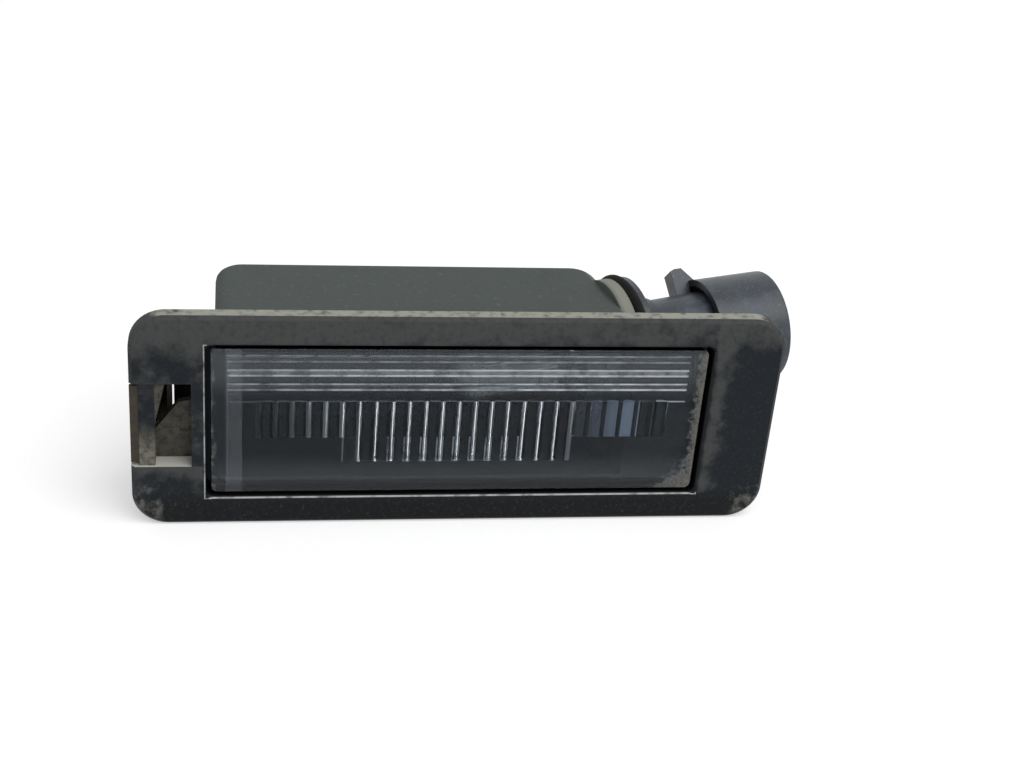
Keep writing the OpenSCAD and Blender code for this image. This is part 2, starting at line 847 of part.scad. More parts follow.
// Half outline of the glass, closed by a round tip
module glass_outline(r, tip, shoulder, throat) {
    translate([0, -tip])
        union() {
            intersection() {
                translate([0, r])
                    circle(r = r);
                square([r, r]);
            }
            translate([0, r])
                square([r, tip - r - shoulder]);
            translate([0, tip - shoulder])
                polygon([
                    [0, 0], [r, 0], [r - shoulder_step, shoulder_len],
                    [r - throat_step, throat], [0, throat]
                ]);
        }
}

module bulb_glass() {
    color([0.85, 0.88, 0.9, 0.35])
        on_holder()
            difference() {
                union() {
                    rotate_extrude()
                        glass_outline(glass_r, glass_reach, shoulder_back, throat_len);
                    translate([-base_t / 2, -base_w / 2, base_start - shoulder_back])
                        cube([base_t, base_w, base_end + shoulder_back - base_start]);
                }
                rotate_extrude()
                    glass_outline(
                        glass_r - glass_wall, glass_reach - glass_wall,
                        shoulder_back, throat_len - throat_fill
                    );
                lead_shape(1);
                lead_shape(-1);
            }
}

module bulb_filament() {
    arc_r = lead_y + coil_bow;
    rise = sqrt(arc_r * arc_r - lead_y * lead_y);
    color([0.5, 0.48, 0.45])
        on_holder()
            translate([0, 0, -filament_back + rise])
                intersection() {
                    rotate([0, 90, 0])
                        rotate_extrude()
                            translate([arc_r, 0])
                                circle(r = coil_r, $fn = coil_fn);
                    translate([-past, -lead_y, -arc_r - past])
                        cube([2 * past, 2 * lead_y, arc_r + past - rise]);
                }
}

bezel_frame();
rear_housing();
lens();
lens_seal();
spring_clip();
holder_body();
holder_seal();
bulb_glass();
bulb_filament();
bulb_lead_upper();
bulb_lead_lower();
terminal_upper();
terminal_lower();
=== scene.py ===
import json
import math

import bpy
from mathutils import Matrix, Vector


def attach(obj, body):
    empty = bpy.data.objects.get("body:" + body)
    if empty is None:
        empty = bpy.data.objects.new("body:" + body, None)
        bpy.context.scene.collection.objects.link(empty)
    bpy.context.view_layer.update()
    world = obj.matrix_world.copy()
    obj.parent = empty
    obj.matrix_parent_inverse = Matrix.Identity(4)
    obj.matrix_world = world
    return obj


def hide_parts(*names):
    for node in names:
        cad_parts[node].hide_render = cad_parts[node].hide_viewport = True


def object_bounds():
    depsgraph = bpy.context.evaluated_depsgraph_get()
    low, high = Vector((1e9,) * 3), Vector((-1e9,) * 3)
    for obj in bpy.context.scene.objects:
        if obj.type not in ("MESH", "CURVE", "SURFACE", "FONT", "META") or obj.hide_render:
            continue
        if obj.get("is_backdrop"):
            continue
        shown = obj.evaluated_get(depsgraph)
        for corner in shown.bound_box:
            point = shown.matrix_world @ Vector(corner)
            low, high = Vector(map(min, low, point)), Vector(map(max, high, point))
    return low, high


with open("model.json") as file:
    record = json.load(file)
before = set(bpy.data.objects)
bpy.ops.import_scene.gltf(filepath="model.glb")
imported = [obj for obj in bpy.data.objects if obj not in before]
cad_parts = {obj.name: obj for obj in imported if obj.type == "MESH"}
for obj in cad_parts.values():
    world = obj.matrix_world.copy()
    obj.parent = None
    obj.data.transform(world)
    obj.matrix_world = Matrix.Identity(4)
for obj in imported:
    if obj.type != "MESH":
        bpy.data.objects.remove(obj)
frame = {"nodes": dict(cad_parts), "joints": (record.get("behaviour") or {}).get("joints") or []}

cad_low, cad_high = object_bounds()


# Rear housing: the tub behind the frame, moulded in dark ABS. The tray at its front takes the
# lens flange and is joined to the frame's back. Road dust has left an even grey-green film on
# the outside and a paler one on the collar; the inside, behind the lens, stays black.

MM_PER_M = 1000


def linear(code):
    """Linear colour of an sRGB hex code."""
    parts = [int(code[i:i + 2], 16) / 255 for i in (1, 3, 5)]
    return [p / 12.92 if p <= 0.04045 else ((p + 0.055) / 1.055) ** 2.4 for p in parts] + [1]


def add(tree, kind, inputs={}, **settings):
    """Adds a node. An input takes a value, a hex colour, an output or a whole node."""
    made = tree.nodes.new(kind)
    for name, value in settings.items():
        setattr(made, name, value)
    for name, value in inputs.items():
        if isinstance(value, bpy.types.Node):
            value = next(socket for socket in value.outputs if socket.enabled)
        if isinstance(value, bpy.types.NodeSocket):
            tree.links.new(value, made.inputs[name])
        else:
            made.inputs[name].default_value = linear(value) if isinstance(value, str) else value
    return made


class Finish:
    """A material with its shader, the place on the piece in mm, and how far it faces up."""

    def __init__(self, name, **constants):
        self.material = bpy.data.materials.new(name)
        self.material.use_nodes = True
        self.tree = self.material.node_tree
        self.shader = self.tree.nodes["Principled BSDF"]
        for socket, value in constants.items():
            self.shader.inputs[socket.replace("_", " ")].default_value = value
        place = add(self.tree, "ShaderNodeTexCoord")
        self.mm = add(self.tree, "ShaderNodeVectorMath",
                      {0: place.outputs["Object"], "Scale": MM_PER_M}, operation="SCALE")
        self.at = list(add(self.tree, "ShaderNodeSeparateXYZ", {0: self.mm}).outputs)
        self.up = add(self.tree, "ShaderNodeSeparateXYZ", {0: place.outputs["Normal"]}).outputs["Z"]

    def patches(self, amount, size, detail=6.0, stretch=(1, 1, 1)):
        """Ragged patches of a size in mm; the amount runs from none at 0 to all at 1."""
        place = add(self.tree, "ShaderNodeVectorMath", {0: self.mm, 1: stretch},
                    operation="MULTIPLY")
        noise = add(self.tree, "ShaderNodeTexNoise",
                    {"Vector": place, "Scale": 1 / size, "Detail": detail, "Roughness": 0.62})
        level = add(self.tree, "ShaderNodeMath", {0: noise, 1: amount}, operation="ADD")
        return add(self.tree, "ShaderNodeMapRange",
                   {"Value": level, "From Min": 0.85, "From Max": 1.2},
                   interpolation_type="SMOOTHSTEP")

    def inside(self, box):
        """1 inside a box, given as its middle and half size along x, y and z in mm."""
        found = 1.0
        for value, (middle, half) in zip(self.at, box):
            near = add(self.tree, "ShaderNodeMath", {0: value, 1: middle, 2: half},
                       operation="COMPARE")
            found = add(self.tree, "ShaderNodeMath", {0: near, 1: found}, operation="MULTIPLY")
        return found

    def coat(self, under, over, mask, share=1.0):
        """A thin layer of another colour where the mask is 1; the share says how well it covers."""
        cover = add(self.tree, "ShaderNodeMath", {0: mask, 1: share}, operation="MULTIPLY")
        return add(self.tree, "ShaderNodeMix", {"Factor": cover, 6: under, 7: over},
                   data_type="RGBA")

    def skin(self, colour, roughness, grain, height, edge=0.12):
        """Links the colour and roughness and adds a grain, sizes in mm. Edge 0 stays sharp."""
        noise = add(self.tree, "ShaderNodeTexNoise",
                    {"Vector": self.mm, "Scale": 1 / grain, "Detail": 3.0, "Roughness": 0.55})
        bump = add(self.tree, "ShaderNodeBump", {"Height": noise, "Distance": height / MM_PER_M})
        if edge:
            soft = add(self.tree, "ShaderNodeBevel", {"Radius": edge / MM_PER_M}, samples=4)
            self.tree.links.new(soft.outputs[0], bump.inputs["Normal"])
        for name, value in (("Base Color", colour), ("Roughness", roughness), ("Normal", bump)):
            output = next(socket for socket in value.outputs if socket.enabled)
            self.tree.links.new(output, self.shader.inputs[name])

    def give(self, *nodes):
        """Puts the finish on CAD nodes."""
        for name in nodes:
            for slot in frame["nodes"][name].material_slots:
                slot.material = self.material


CAVITY = ((0, 29.2), (10.7, 9.1), (-0.5, 10.95))
TRAY_INSIDE = ((0, 32.25), (0.9, 1.2), (0, 11.85))
END_WALL_MIDDLE = -1.75
COLLAR_START = -2.2
COLLAR_DUSTY = -1.0

holder_turn = next(joint for joint in frame["joints"] if joint["name"] == "holder_turn")
holder_axis = Vector(holder_turn["axis"]).normalized()
holder_place = Vector(holder_turn["pos_m"])

housing_abs = Finish("dusty_moulded_abs", IOR=1.5, Specular_IOR_Level=0.25)
tree, z = housing_abs.tree, housing_abs.at[2]
from_face = add(tree, "ShaderNodeVectorMath",
                {0: housing_abs.mm, 1: holder_place * MM_PER_M}, operation="SUBTRACT")
along = add(tree, "ShaderNodeVectorMath", {0: from_face, 1: holder_axis}, operation="DOT_PRODUCT")
before_wall = add(tree, "ShaderNodeMath", {0: along, 1: END_WALL_MIDDLE}, operation="LESS_THAN")
within = add(tree, "ShaderNodeMath", {0: housing_abs.inside(CAVITY), 1: before_wall},
             operation="MULTIPLY")
amount = add(tree, "ShaderNodeMapRange",
             {"Value": z, "From Min": -12.0, "From Max": 8.0, "To Min": 0.35, "To Max": 0.7})
film = housing_abs.patches(amount, 9.0)
grey = housing_abs.coat("#3f4545", "#515756", film)
grey = housing_abs.coat(grey, "#6c6f69", housing_abs.patches(0.3, 0.8, 2.0))
collar = add(tree, "ShaderNodeMapRange",
             {"Value": along, "From Min": COLLAR_START, "From Max": COLLAR_DUSTY},
             interpolation_type="SMOOTHSTEP")
grey = housing_abs.coat(grey, "#94958b", collar, 0.9)
within = add(tree, "ShaderNodeMath", {0: within, 1: housing_abs.inside(TRAY_INSIDE)},
             operation="MAXIMUM")
grey = housing_abs.coat(grey, "#0a0c0e", within)
rough = add(tree, "ShaderNodeMapRange", {"Value": film, "To Min": 0.6, "To Max": 0.85})
housing_abs.skin(grey, rough, 0.5, 0.02, 0.3)
housing_abs.give("rear_housing")


# Seals: soft rings moulded in EPDM rubber, black and dull. One is pressed between the lens
# flange and the housing's shelf, one between the collar and the bulb holder's flange.

epdm = Finish("moulded_epdm_rubber", IOR=1.5, Specular_IOR_Level=0.2)
rubber = epdm.coat("#101010", "#2c2c2a", epdm.patches(0.35, 1.6))
rough = add(epdm.tree, "ShaderNodeMapRange",
            {"Value": epdm.up, "From Min": -1.0, "To Min": 0.7, "To Max": 0.85})
epdm.skin(rubber, rough, 0.4, 0.015)
epdm.give("lens_seal", "holder_seal")


# Lens: one clear acrylic moulding, its flange held between the frame and the seal. The front is
# smooth; prism lines and two rows of flutes stand on the back, and the light their edges catch is
# painted on as highlights. Dirt has settled round its rim. Painted shade blackens the flange and
# the lands between the outer flutes.

ANY = (0, 1000)
PRISM_HEIGHTS = (8.15, 6.2, 4.25)
EDGE_WORTH = (0.55, 1.0, 1.0)
FLANK_WORTH = (0.05, 0.4, 0.12)
PRISM_HALF = 28.5
LINE_GAP = 0.4
LINE_HALF = 0.12
FLUTE_PITCH = 2.05
FLUTE_SHIFT = 0.8
FLUTE_TOP = 2.2
FLUTE_STEP = -2.9
FLUTE_FOOT = -6.4
FLUTE_ROWS = (ANY, ANY, ((FLUTE_TOP + FLUTE_FOOT) / 2, (FLUTE_TOP - FLUTE_FOOT) / 2))
UPPER_REACH = 25.1
LOWER_REACH = 14.5
DOUBLED = (-0.8, 8.7)
DOUBLED_LANDS = (DOUBLED, ANY, (FLUTE_FOOT, FLUTE_STEP - FLUTE_FOOT))
FOOT_HALF = 0.12
LAND_FEET = (ANY, ANY, (FLUTE_FOOT + FOOT_HALF, FOOT_HALF))
FLUTE_HEADS = (ANY, ANY, (FLUTE_TOP, 0.09))
HEAD_WORTH = 0.14
GLINT_START = 24.8
GLINT_WORTH = 0.76
LEFT_BAND = -27.7
LEFT_BAND_HALF = 1.0
BLOCKS = ((18.7, 4.1), ANY, (-0.35, 2.55))
PANE = ((0, 30.4), ANY, (0, 10.0))
RIM_WORTH = 0.62

# Shares of the pitch: the land between two flutes is at 0.5, and the rest is counted from it.
LAND_AT = 0.5
LAND_HALF = 0.06
SECOND_LINE_AT = 0.17
SECOND_LINE_HALF = 0.05
FOOT_LINE_HALF = 0.2
LAND_SHADE_HALF = 0.14

# The film of road grime takes most of the sharp reflection away, hence the dark specular tint.
acrylic = Finish("clear_moulded_acrylic", IOR=1.49, Transmission_Weight=1.0,
                 Specular_IOR_Level=0.2, Specular_Tint=linear("#8b9197"))
tree, (x, y, z) = acrylic.tree, acrylic.at
behind = add(tree, "ShaderNodeMapRange", {"Value": y, "From Min": -0.2, "From Max": 0.1})
side = add(tree, "ShaderNodeMath", {0: x}, operation="ABSOLUTE")
streak = add(tree, "ShaderNodeTexNoise",
             {"Vector": acrylic.mm, "Scale": 1 / 2.5, "Detail": 5.0, "Roughness": 0.6})
highlight_breakup = add(tree, "ShaderNodeMapRange",
           {"Value": streak, "From Min": 0.38, "From Max": 0.58, "To Min": 0.4, "To Max": 1.0})

# Painted highlights: each prism shows as a faint flank between two bright edges, brighter towards
# the right.
prism_highlights = 0.0
for height, worth, flank in zip(PRISM_HEIGHTS, EDGE_WORTH, FLANK_WORTH):
    between = add(tree, "ShaderNodeMath", {0: z, 1: height, 2: LINE_GAP}, operation="COMPARE")
    prism_highlights = add(tree, "ShaderNodeMath", {0: between, 1: flank, 2: prism_highlights},
                operation="MULTIPLY_ADD")
    for offset in (-LINE_GAP, LINE_GAP):
        line = add(tree, "ShaderNodeMath", {0: z, 1: height + offset, 2: LINE_HALF},
                   operation="COMPARE")
        prism_highlights = add(tree, "ShaderNodeMath", {0: line, 1: worth, 2: prism_highlights},
                    operation="MULTIPLY_ADD")
short = add(tree, "ShaderNodeMath", {0: side, 1: PRISM_HALF}, operation="LESS_THAN")
brighter = add(tree, "ShaderNodeMapRange",
               {"Value": x, "From Min": -28.0, "From Max": 12.0, "To Min": 0.55})
for share in (short, brighter, highlight_breakup):
    prism_highlights = add(tree, "ShaderNodeMath", {0: prism_highlights, 1: share}, operation="MULTIPLY")

# Painted highlights on the lands between the flutes, weak at the left and hardly any at the blocks.
phase = add(tree, "ShaderNodeMath", {0: x, 1: FLUTE_SHIFT}, operation="SUBTRACT")
phase = add(tree, "ShaderNodeMath", {0: phase, 1: FLUTE_PITCH}, operation="DIVIDE")
phase = add(tree, "ShaderNodeMath", {0: phase}, operation="FRACT")
land_highlights = add(tree, "ShaderNodeMath", {0: phase, 1: LAND_AT, 2: LAND_HALF}, operation="COMPARE")
upper = add(tree, "ShaderNodeMath", {0: z, 1: FLUTE_STEP}, operation="GREATER_THAN")
reach = add(tree, "ShaderNodeMapRange",
            {"Value": upper, "To Min": LOWER_REACH, "To Max": UPPER_REACH})
in_reach = add(tree, "ShaderNodeMath", {0: side, 1: reach}, operation="LESS_THAN")
in_rows = acrylic.inside(FLUTE_ROWS)
from_left = add(tree, "ShaderNodeMapRange",
                {"Value": x, "From Min": -24.0, "From Max": 2.0, "To Min": 0.06},
                interpolation_type="SMOOTHSTEP")
to_blocks = add(tree, "ShaderNodeMapRange",
                {"Value": x, "From Min": 11.0, "From Max": 15.0, "To Min": 1.0, "To Max": 0.05})
land_light_share = add(tree, "ShaderNodeMath", {0: from_left, 1: to_blocks}, operation="MULTIPLY")

# In the lower row's middle the lines are doubled and joined at their feet.
centred = add(tree, "ShaderNodeMath", {0: phase, 1: LAND_AT}, operation="SUBTRACT")
centred = add(tree, "ShaderNodeMath", {0: centred}, operation="ABSOLUTE")
pair = add(tree, "ShaderNodeMath", {0: centred, 1: SECOND_LINE_AT, 2: SECOND_LINE_HALF},
           operation="COMPARE")
feet = add(tree, "ShaderNodeMath", {0: centred, 1: FOOT_LINE_HALF}, operation="LESS_THAN")
feet = add(tree, "ShaderNodeMath", {0: feet, 1: acrylic.inside(LAND_FEET)}, operation="MULTIPLY")
pair = add(tree, "ShaderNodeMath", {0: pair, 1: feet}, operation="MAXIMUM")
pair = add(tree, "ShaderNodeMath", {0: pair, 1: acrylic.inside(DOUBLED_LANDS)},
           operation="MULTIPLY")
land_highlights = add(tree, "ShaderNodeMath", {0: land_highlights, 1: pair}, operation="MAXIMUM")
for share in (in_rows, in_reach, land_light_share, highlight_breakup):
    land_highlights = add(tree, "ShaderNodeMath", {0: land_highlights, 1: share}, operation="MULTIPLY")

# Painted shade: the lands between the outer flutes are painted dark, and there they catch no light.
land_shade_share = add(tree, "ShaderNodeMath", {0: 1.0, 1: land_light_share}, operation="SUBTRACT")
land_shade_fade = add(tree, "ShaderNodeMapRange", {"Value": land_shade_share, "From Min": 0.5, "From Max": 0.95})
painted_land_shade = add(tree, "ShaderNodeMath", {0: phase, 1: LAND_AT, 2: LAND_SHADE_HALF}, operation="COMPARE")
for share in (in_rows, in_reach, land_shade_fade, behind):
    painted_land_shade = add(tree, "ShaderNodeMath", {0: painted_land_shade, 1: share}, operation="MULTIPLY")

# Painted highlight along the flutes' top edge: a thin line, with a painted glint at its right end.
head_highlight = acrylic.inside(FLUTE_HEADS)
glint = add(tree, "ShaderNodeMath", {0: x, 1: GLINT_START}, operation="GREATER_THAN")
glint = add(tree, "ShaderNodeMath", {0: glint, 1: GLINT_WORTH, 2: HEAD_WORTH},
            operation="MULTIPLY_ADD")
for share in (glint, short):
    head_highlight = add(tree, "ShaderNodeMath", {0: head_highlight, 1: share}, operation="MULTIPLY")

# All painted highlights on the back, together: the prism lines, the lands and the flutes' top edge.
painted_glints = add(tree, "ShaderNodeMath", {0: land_highlights, 1: 0.5, 2: head_highlight}, operation="MULTIPLY_ADD")
painted_glints = add(tree, "ShaderNodeMath", {0: prism_highlights, 1: painted_glints}, operation="ADD")
painted_glints = add(tree, "ShaderNodeMath", {0: painted_glints, 1: behind}, operation="MULTIPLY")
# Painted reflection: the pane is paler towards its top. It is also made paler towards its bottom
# and in a band at the left.
pale_bands_and_reflection = add(tree, "ShaderNodeMapRange",
           {"Value": z, "From Min": 2.5, "From Max": 7.0, "To Max": 0.05},
           interpolation_type="SMOOTHSTEP")
lower_pale_band = add(tree, "ShaderNodeMapRange",
               {"Value": z, "From Min": -4.5, "From Max": -8.5, "To Max": 0.035},
               interpolation_type="SMOOTHSTEP")
pale_bands_and_reflection = add(tree, "ShaderNodeMath", {0: pale_bands_and_reflection, 1: lower_pale_band}, operation="ADD")
left_band = add(tree, "ShaderNodeMath", {0: x, 1: LEFT_BAND, 2: LEFT_BAND_HALF},
                operation="COMPARE")
pale_bands_and_reflection = add(tree, "ShaderNodeMath", {0: left_band, 1: 0.045, 2: pale_bands_and_reflection}, operation="MULTIPLY_ADD")

# Dust lies round the front's rim and spreads furthest in the lower right corner.
at_rim = add(tree, "ShaderNodeMapRange", {"Value": side, "From Min": 28.0, "From Max": 30.4})
rim_share = add(tree, "ShaderNodeMapRange",
                {"Value": x, "From Min": -28.0, "From Max": 28.0, "To Min": 0.42, "To Max": 0.66})
at_rim = add(tree, "ShaderNodeMath", {0: at_rim, 1: rim_share}, operation="MULTIPLY")
to_corner = add(tree, "ShaderNodeMath", {0: x, 1: z}, operation="SUBTRACT")
to_corner = add(tree, "ShaderNodeMapRange",
                {"Value": to_corner, "From Min": 29.0, "From Max": 39.5, "To Max": 0.66})
at_rim = add(tree, "ShaderNodeMath", {0: at_rim, 1: to_corner}, operation="MAXIMUM")
rim = acrylic.patches(at_rim, 0.6, 9.0)
in_front = add(tree, "ShaderNodeMath", {0: 1.0, 1: behind}, operation="SUBTRACT")
for share in (in_front, RIM_WORTH):
    rim = add(tree, "ShaderNodeMath", {0: rim, 1: share}, operation="MULTIPLY")

# Blue-grey light fills the flutes at the right, stronger from one to the next.
blocks = acrylic.inside(BLOCKS)
block_light = add(tree, "ShaderNodeMapRange",
                  {"Value": x, "From Min": 14.5, "From Max": 22.8, "To Min": 0.04, "To Max": 0.68},
                  interpolation_type="SMOOTHSTEP")
for share in (block_light, behind):
    blocks = add(tree, "ShaderNodeMath", {0: blocks, 1: share}, operation="MULTIPLY")

# Painted shade: the flange outside the pane is painted black.
painted_gap_shade = add(tree, "ShaderNodeMath", {0: 1.0, 1: acrylic.inside(PANE)}, operation="SUBTRACT")
cover = pale_bands_and_reflection
for layer in (painted_glints, rim, blocks):
    cover = add(tree, "ShaderNodeMath", {0: cover, 1: layer}, operation="ADD", use_clamp=True)
for layer in (painted_gap_shade, painted_land_shade):
    cover = add(tree, "ShaderNodeMath", {0: cover, 1: layer}, operation="MAXIMUM")
clear = add(tree, "ShaderNodeMath", {0: 1.0, 1: cover}, operation="SUBTRACT")
tree.links.new(clear.outputs[0], acrylic.shader.inputs["Transmission Weight"])
# Colours: dust on the rim, painted light in the blocks, painted highlights on the prism lines,
# painted shade on the outer lands and on the flange.
tint = acrylic.coat("#dde4ea", "#8c8a80", rim, 2.4)
tint = acrylic.coat(tint, "#a0aec4", blocks, 5.0)
tint = acrylic.coat(tint, "#ffffff", prism_highlights)
tint = acrylic.coat(tint, "#24282c", painted_land_shade)
tint = acrylic.coat(tint, "#0b0c0d", painted_gap_shade)
rough = add(tree, "ShaderNodeMapRange",
            {"Value": streak, "From Min": 0.4, "From Max": 0.7, "To Min": 0.02, "To Max": 0.05})
acrylic.skin(tint, rough, 4.0, 0.001, 0)
acrylic.give("lens")


# Bezel frame: the black ABS moulding that shows on the car, with the clip tower and the catch
# on its back. Road dust lies on its upper edge and in the clip's pocket, rubbed streaks run down
# its face, and the opening's left and lower lip is painted pale, partly as wear and partly as a
# painted highlight. The walls inside the opening are painted black as painted shade.

POCKET = ((-35.4, 4.3), (3.0, 4.8), (-0.3, 6.2))
POST_RIGHT = -37.05
CUT_FOOT = -6.05
TOP_EDGE_FOOT = 12.5
OPENING_HALF = (31.05, 10.55)
LIP = ((0, OPENING_HALF[0] + 0.25), (-2.0, 0.35), (0, OPENING_HALF[1] + 0.25))
WITHIN_LIP = ((0, OPENING_HALF[0] + 0.1), ANY, (0, OPENING_HALF[1] + 0.1))
CLIP_END = -OPENING_HALF[0] - 0.4
LEFT_LIP = 0.2 - OPENING_HALF[0]
LOWER_LIP = 0.1 - OPENING_HALF[1]

bezel_abs = Finish("weathered_black_abs", IOR=1.5, Specular_IOR_Level=0.17)
tree, (x, y, z) = bezel_abs.tree, bezel_abs.at
side = add(tree, "ShaderNodeMath", {0: x}, operation="ABSOLUTE")
top = add(tree, "ShaderNodeMapRange",
          {"Value": z, "From Min": 8.5, "From Max": 12.5, "To Max": 0.4},
          interpolation_type="SMOOTHSTEP")
left = add(tree, "ShaderNodeMapRange",
           {"Value": x, "From Min": 36.0, "From Max": -30.0, "To Min": 0.2, "To Max": 0.42})
low = add(tree, "ShaderNodeMapRange", {"Value": z, "From Min": -9.5, "From Max": -12.0},
          interpolation_type="SMOOTHSTEP")
band = add(tree, "ShaderNodeMapRange",
           {"Value": x, "From Min": 31.0, "From Max": 31.8, "To Max": 0.42})
fade = add(tree, "ShaderNodeMapRange", {"Value": x, "From Min": 35.0, "From Max": 32.2})
band = add(tree, "ShaderNodeMath", {0: band, 1: fade}, operation="MULTIPLY")
amount = add(tree, "ShaderNodeMath", {0: top, 1: left}, operation="ADD")
amount = add(tree, "ShaderNodeMath", {0: low, 1: -0.35, 2: amount}, operation="MULTIPLY_ADD")
amount = add(tree, "ShaderNodeMath", {0: amount, 1: band}, operation="ADD")
below_cut = add(tree, "ShaderNodeMapRange",
                {"Value": z, "From Min": -8.2, "From Max": CUT_FOOT, "To Max": 0.3})
at_clip = add(tree, "ShaderNodeMath", {0: x, 1: CLIP_END}, operation="LESS_THAN")
under_cut = add(tree, "ShaderNodeMath", {0: z, 1: CUT_FOOT}, operation="LESS_THAN")
for share in (at_clip, under_cut):
    below_cut = add(tree, "ShaderNodeMath", {0: below_cut, 1: share}, operation="MULTIPLY")
amount = add(tree, "ShaderNodeMath", {0: amount, 1: below_cut}, operation="ADD")
film = bezel_abs.patches(amount, 2.6, 9.0)
# The black is darker towards the bottom, and the film is thinner there.
base = bezel_abs.coat("#141a20", "#080b0f", low)
black = bezel_abs.coat(base, "#4c4e4e", film)
black = bezel_abs.coat(black, "#24282b", bezel_abs.patches(0.4, 0.7, 9.0), 0.55)
black = bezel_abs.coat(black, "#555756", bezel_abs.patches(0.3, 0.35, 3.0), 0.55)
# The real streaks are finer than a pixel of the picture, so they are drawn wider.
streaks = bezel_abs.patches(top, 0.9, 4.0, (1, 1, 0.2))
black = bezel_abs.coat(black, "#55544e", streaks, 0.45)

# The lower corners are scuffed pale.
corners = add(tree, "ShaderNodeMapRange",
              {"Value": side, "From Min": 33.0, "From Max": 37.0, "To Max": 0.5})
bottom = add(tree, "ShaderNodeMapRange", {"Value": z, "From Min": -4.0, "From Max": -11.5})
scuff = add(tree, "ShaderNodeMath", {0: corners, 1: bottom}, operation="MULTIPLY")
black = bezel_abs.coat(black, "#86867f", bezel_abs.patches(scuff, 1.1, 9.0), 0.6)

# Tan road dust fills the clip's pocket: all of its web, and the foot of the post.
tan = bezel_abs.patches(0.6, 0.8, 8.0)
shallow = add(tree, "ShaderNodeMapRange", {"Value": y, "From Min": 2.2, "From Max": 1.4})
on_web = add(tree, "ShaderNodeMath", {0: x, 1: POST_RIGHT}, operation="GREATER_THAN")
foot = add(tree, "ShaderNodeMapRange", {"Value": z, "From Min": -0.5, "From Max": -4.0})
laid = add(tree, "ShaderNodeMath", {0: on_web, 1: foot}, operation="MAXIMUM")
for share in (bezel_abs.inside(POCKET), shallow, laid):
    tan = add(tree, "ShaderNodeMath", {0: tan, 1: share}, operation="MULTIPLY")
earth = bezel_abs.coat("#7d796e", "#57534a", on_web)
black = bezel_abs.coat(black, earth, tan)

# Pale dust lies on what faces up: the frame's upper edge and the cut-out's sill. The sill's dust is
# painted paler still, as painted light where the pocket shades it.
upward = add(tree, "ShaderNodeMapRange",
             {"Value": bezel_abs.up, "From Min": 0.8, "From Max": 0.98, "To Max": 0.95})
on_top = add(tree, "ShaderNodeMath", {0: z, 1: TOP_EDGE_FOOT}, operation="GREATER_THAN")
on_top = add(tree, "ShaderNodeMath", {0: on_top, 1: 0.67}, operation="MULTIPLY")
on_sill = add(tree, "ShaderNodeMath", {0: z, 1: 0.0}, operation="LESS_THAN")
on_sill = add(tree, "ShaderNodeMath", {0: on_sill, 1: at_clip}, operation="MULTIPLY")
lying = add(tree, "ShaderNodeMath", {0: on_top, 1: on_sill}, operation="MAXIMUM")
lying = add(tree, "ShaderNodeMath", {0: lying, 1: upward}, operation="MULTIPLY")
dust_and_sill_light = bezel_abs.coat("#a3a499", "#c4c5ba", on_sill)
black = bezel_abs.coat(black, dust_and_sill_light, bezel_abs.patches(lying, 1.3, 9.0))

# Only the left and the lower lip are painted pale: some wear and a painted highlight on the
# chamfer. The walls inside it are painted black, as painted shade.
within_lip = bezel_abs.inside(WITHIN_LIP)
lip = add(tree, "ShaderNodeMath", {0: bezel_abs.inside(LIP), 1: within_lip},
          operation="SUBTRACT", use_clamp=True)
on_left = add(tree, "ShaderNodeMath", {0: x, 1: LEFT_LIP}, operation="LESS_THAN")
on_bottom = add(tree, "ShaderNodeMath", {0: z, 1: LOWER_LIP}, operation="LESS_THAN")
lip_wear_and_highlight = add(tree, "ShaderNodeMath", {0: on_left, 1: on_bottom}, operation="MAXIMUM")
for share in (lip, bezel_abs.patches(0.62, 1.6)):
    lip_wear_and_highlight = add(tree, "ShaderNodeMath", {0: lip_wear_and_highlight, 1: share}, operation="MULTIPLY")
black = bezel_abs.coat(black, "#b6babb", lip_wear_and_highlight)
black = bezel_abs.coat(black, "#0c0d0e", within_lip)
rough = add(tree, "ShaderNodeMapRange", {"Value": film, "To Min": 0.5, "To Max": 0.85})
bezel_abs.skin(black, rough, 0.35, 0.03, 0.1)
bezel_abs.give("bezel_frame")


# Spring clip: a bent strip of spring steel, hooked over the tower's post, that snaps behind the
# panel. Its plating is gone and the strip has rusted brown.

rusty_steel = Finish("rusted_spring_steel")
rust = rusty_steel.patches(0.45, 0.7)
steel = rusty_steel.coat("#1e1a14", "#4a3d22", rust)
rough = add(rusty_steel.tree, "ShaderNodeMapRange", {"Value": rust, "To Min": 0.6, "To Max": 0.9})
rusty_steel.skin(steel, rough, 0.25, 0.05, 0.08)
rusty_steel.give("spring_clip")


# Bulb holder: one moulding of glass-filled nylon, with the boss and lugs that sit in the collar,
# the neck, the finger wings and the round connector shell. Satin, slightly blue, with fine pale
# specks.

holder_nylon = Finish("glass_filled_nylon", IOR=1.53, Specular_IOR_Level=0.5)
tree = holder_nylon.tree
wear = holder_nylon.patches(0.42, 2.5)
nylon = holder_nylon.coat("#232a32", "#465260", wear)
nylon = holder_nylon.coat(nylon, "#6a7078", holder_nylon.patches(0.3, 0.35, 2.0))
# Painted shade: the faces that look back at the collar are painted near black.
facing = add(tree, "ShaderNodeTexCoord").outputs["Normal"]
painted_lee_shade = add(tree, "ShaderNodeVectorMath", {0: facing, 1: -holder_axis}, operation="DOT_PRODUCT")
painted_lee_shade = add(tree, "ShaderNodeMapRange", {"Value": painted_lee_shade, "From Min": 0.6, "From Max": 0.9})
nylon = holder_nylon.coat(nylon, "#0a0a0a", painted_lee_shade, 0.9)
rough = add(tree, "ShaderNodeMapRange", {"Value": wear, "To Min": 0.38, "To Max": 0.55})
holder_nylon.skin(nylon, rough, 0.4, 0.015, 0.2)
holder_nylon.give("holder_body")


